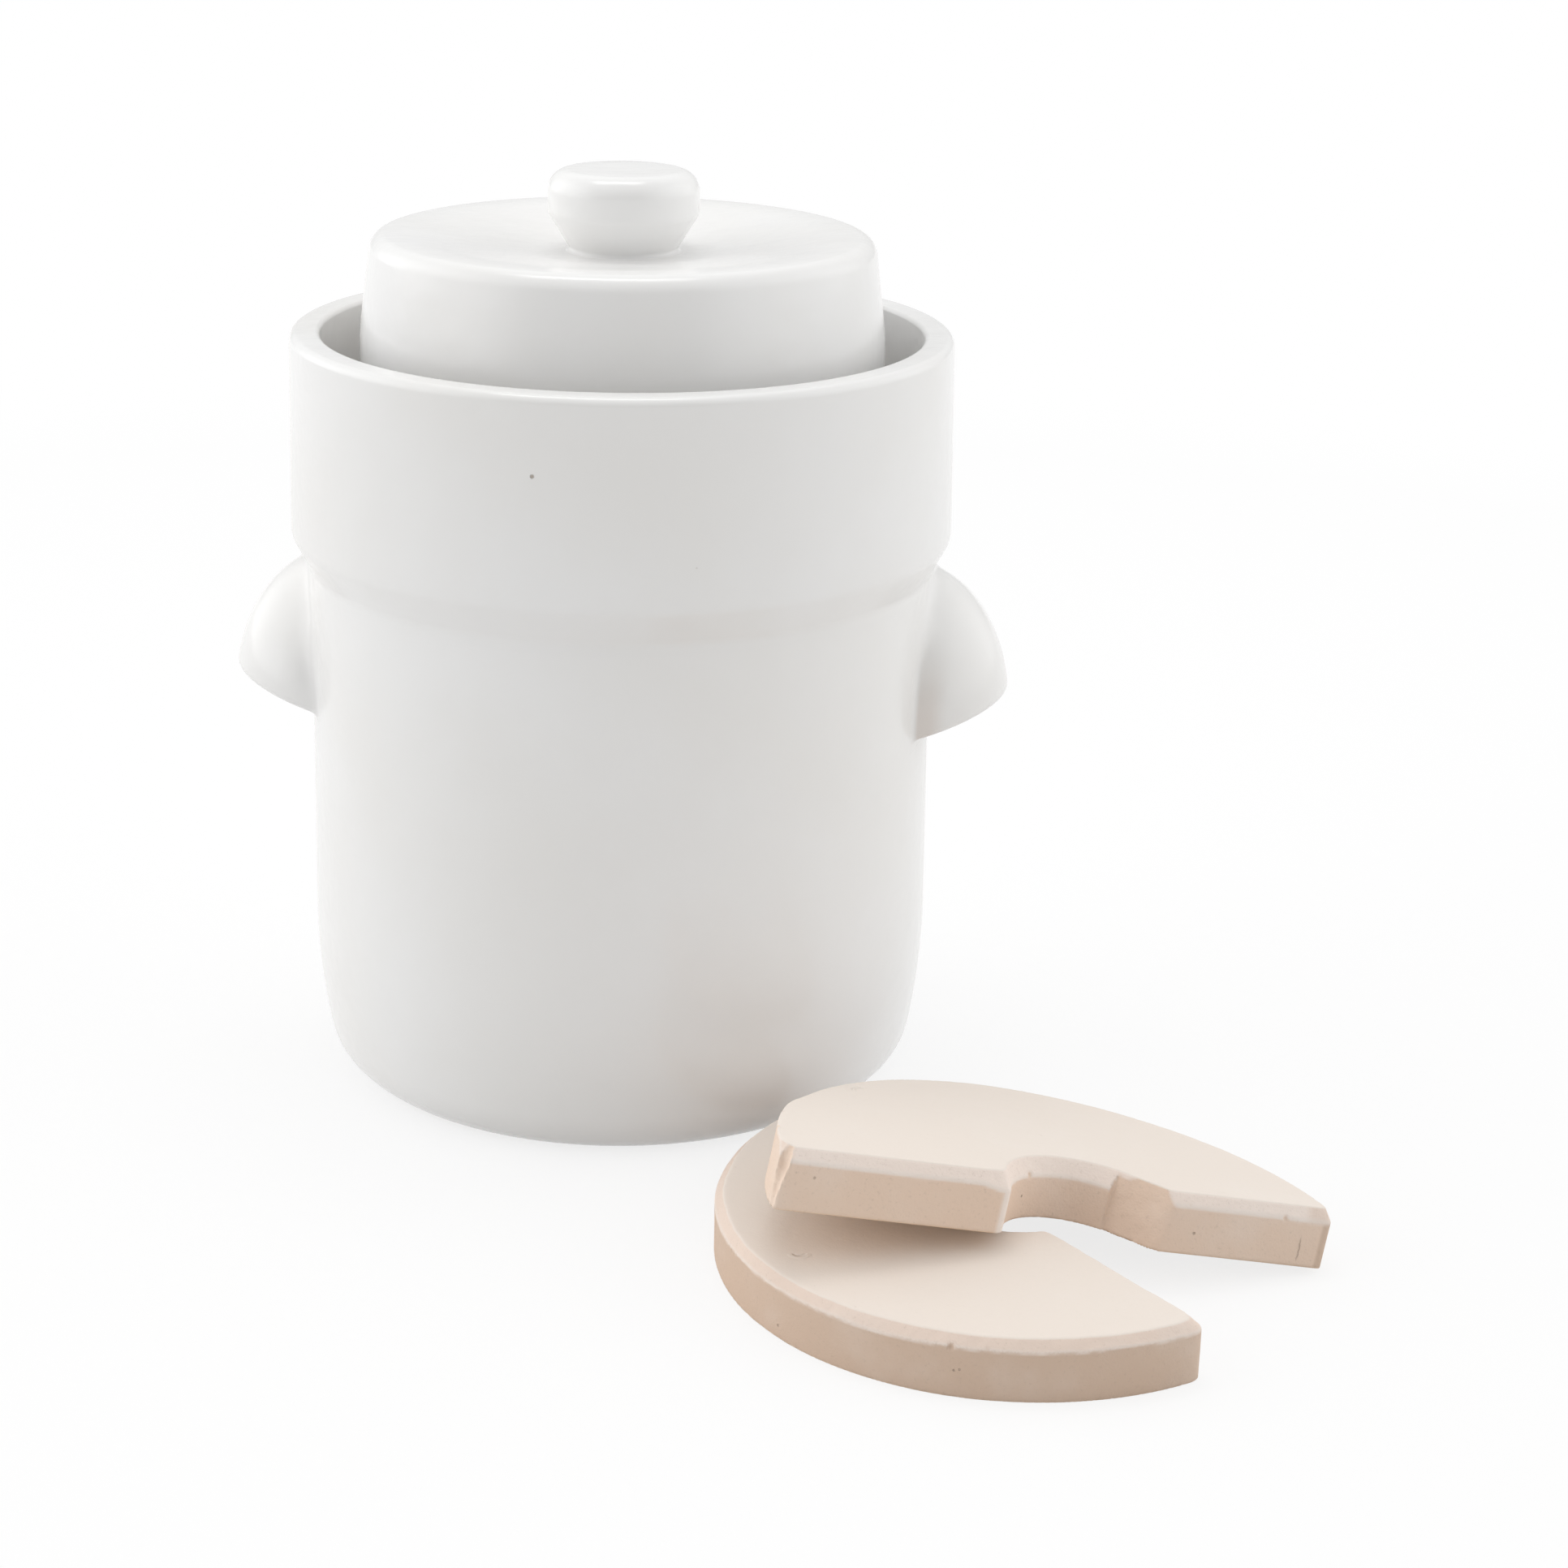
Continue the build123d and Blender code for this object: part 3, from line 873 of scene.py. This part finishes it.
lower_shape = StoneShape(notch_radius=16.0, notch_offset=0.0, notch_corner=2.5, tip=6.0, short=0.0,
                         bevel=2.4, notch_bevel=0.5, worn_end=0.0, slope=0.95, shift=0.0)
lower_shape.chips = [(-46.1, 55.7, 12.5, 0.9), (-52.1, 50.2, 13.0, 0.6)]
upper_shape = StoneShape(notch_radius=17.3, notch_offset=6.4, notch_corner=3.4, tip=2.4, short=4.2,
                         bevel=3.1, notch_bevel=1.2, worn_end=2.9, slope=0.50, shift=9.0)
upper_shape.chips = [(59.6, 2.3, 11.9, 0.8)]
upper_shape.flakes = [((27.7, 2.9, -0.5), (-0.740, -0.672, 0.110), (25.0, 3.0), 12.4, 2.5),
                      ((-67.6, 2.3, 0.0), (-0.887, -0.444, 0.130), (-68.0, 3.0), 9.0, 0.3)]
upper_shape.scoops = [(-69.3, 4.0, 1.8, 0.147)]

lower_clay = stone_clay("lower_stone_clay", dents=[(4.6, 60.4, 1.3, 2.5)],
                        pits=[(-47.8, 54.3, 7.1, 0.4)])
upper_clay = stone_clay("upper_stone_clay", dents=[(-35.0, 52.8, 1.7, 2.2)],
                        pits=[(-59.5, 2.3, 8.6, 0.5), (36.8, 2.3, 5.5, 0.5)],
                        crack=(64.8, 1.0, 8.0))
lower_stone = stone("lower_stone", lower_shape, lower_clay, lower_place)
upper_stone = stone("upper_stone", upper_shape, upper_clay, upper_place)
print("the upper stone leans by", round(lean * 180 / pi, 2), "degrees")

# %% [markdown]
# ## Seat the pieces
#
# Every piece rides on the body that it belongs to and stands for its plain node, which is hidden,
# so it follows the joints.

# %% Ride and replace
for piece, body, node, finish in [
    (crock, "crock", "crock_body", "white_glaze"),
    (left_lug, "crock", "left_handle", "white_glaze"),
    (right_lug, "crock", "right_handle", "white_glaze"),
    (lid, "lid", "lid_shell", "white_glaze"),
    (knob, "lid", "lid_knob", "white_glaze"),
    (lower_stone, "lower_stone", "lower_weight_stone", "unglazed_clay"),
    (upper_stone, "upper_stone", "upper_weight_stone", "unglazed_clay"),
]:
    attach(piece, body)
    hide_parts(node)
    print(piece.name, "rides on", body)

# %% [markdown]
# ## Floor, light and camera
#
# The jar stands on a white floor. It shows white to the camera and keeps a soft shadow.

# %% Floor
FLOOR_LIT = (0.76, 0.755, 0.75, 1.0)
FLOOR_SEEN = (0.90, 0.90, 0.90, 1.0)
WHITE = (1.0, 1.0, 1.0, 1.0)
SEEN_WHITE = 0.80
FLOOR_HALF = 8.0


def white_floor():
    """White to the camera and in the glaze, less part of its shadow; duller to bounced light."""
    material, tree = new_material("floor")
    from_camera = add(tree, "ShaderNodeLightPath")
    seen = most(from_camera, from_camera.out("Is Glossy Ray"))
    x, y, _ = split(add(tree, "ShaderNodeTexCoord", out=3))
    far = fade(root(x * x + y * y), 0.35, 0.9)
    colour = mix_colour(tree, from_camera, FLOOR_LIT, FLOOR_SEEN)
    plain = add(tree, "ShaderNodeBsdfDiffuse", {}, {"Color": colour})
    bright = add(tree, "ShaderNodeEmission", {}, {"Color": WHITE, "Strength": 1.0})
    shader = add(tree, "ShaderNodeMixShader", {},
                 {0: seen * most(far, SEEN_WHITE), 1: plain, 2: bright})
    add(tree, "ShaderNodeOutputMaterial", {}, {"Surface": shader})
    return material


floor_mesh = bpy.data.meshes.new("floor")
floor_corners = [(-FLOOR_HALF, -FLOOR_HALF, 0), (FLOOR_HALF, -FLOOR_HALF, 0),
                 (FLOOR_HALF, FLOOR_HALF, 0), (-FLOOR_HALF, FLOOR_HALF, 0)]
floor_mesh.from_pydata(floor_corners, [], [(0, 1, 2, 3)])
floor_mesh.materials.append(white_floor())
floor = mesh_object("floor", floor_mesh)
print("floor", 2 * FLOOR_HALF, "m wide")

# %% [markdown]
# The light is that of an even tent: bright above and at both sides, dimmer where the viewer
# stands. That is what draws the round forms: the middle of each wall is a little grey, and its
# sides are bright. To the camera itself the tent is plain white.

# %% Light
ALL_ROUND = 0.45
FROM_LEFT = 1.60
FROM_RIGHT = 1.13
FROM_ABOVE = 0.34
FROM_BEHIND = 0.20
VIEWER_SHADE = 0.19

world = bpy.data.worlds.new("tent")
bpy.context.scene.world = world
world.use_nodes = True
tent = world.node_tree
tent.nodes.clear()
east, north, high_up = split(add(tent, "ShaderNodeTexCoord"))
left_wall = fade(-east, 0.5, 0.95) * FROM_LEFT
right_wall = fade(east, 0.5, 0.95) * FROM_RIGHT
ceiling = fade(high_up, 0.0, 0.9) * FROM_ABOVE
viewer = fade(-north, 0.2, 0.9) * VIEWER_SHADE
back_wall = fade(north, 0.0, 0.8) * FROM_BEHIND
to_camera = add(tent, "ShaderNodeLightPath")
glow = left_wall + right_wall + ceiling + back_wall - viewer + ALL_ROUND
strength = glow * (1.0 - to_camera) + to_camera
sky = add(tent, "ShaderNodeBackground", {}, {"Color": WHITE, "Strength": strength})
add(tent, "ShaderNodeOutputWorld", {}, {"Surface": sky})

lamp = bpy.data.lights.new("top_softbox", "AREA")
lamp.shape = "RECTANGLE"
lamp.size, lamp.size_y = 0.7, 0.35
lamp.energy = 2.6
top_light = bpy.data.objects.new("top_softbox", lamp)
top_light.matrix_world = Matrix.Translation((-0.1, 0.15, 1.3))
bpy.context.scene.collection.objects.link(top_light)
print("a tent and a softbox of", round(lamp.energy, 1), "W")

# %% [markdown]
# The camera was fitted to the outlines of the jar and of the stones in the photograph. It looks
# down on the jar a little, from nearly straight in front, and is turned a degree on its own axis.

# %% Camera
PICTURE_PIXELS = 1932.0
FOCAL_PIXELS = 3890.2
SENSOR_WIDTH = 36.0
eye = Vector((57.1, -813.0, 360.2)) * MM
aim_turn = radians(0.91)
aim_down = radians(19.23)
roll = radians(1.18)
view_ahead = Vector((-sin(aim_turn) * cos(aim_down), cos(aim_turn) * cos(aim_down),
                     -sin(aim_down)))
level_right = Vector((cos(aim_turn), sin(aim_turn), 0.0))
level_up = level_right.cross(view_ahead)
view_right = cos(roll) * level_right + sin(roll) * level_up
view_up = cos(roll) * level_up - sin(roll) * level_right
view_axes = Matrix((view_right, view_up, -view_ahead)).transposed().to_4x4()

camera_data = bpy.data.cameras.new("camera")
camera_data.sensor_width = SENSOR_WIDTH
camera_data.lens = SENSOR_WIDTH * FOCAL_PIXELS / PICTURE_PIXELS
camera = bpy.data.objects.new("camera", camera_data)
camera.matrix_world = Matrix.Translation(eye) @ view_axes
bpy.context.scene.collection.objects.link(camera)
bpy.context.scene.camera = camera
bpy.context.scene.view_settings.view_transform = "Standard"
print("lens", round(camera_data.lens, 1), "mm")
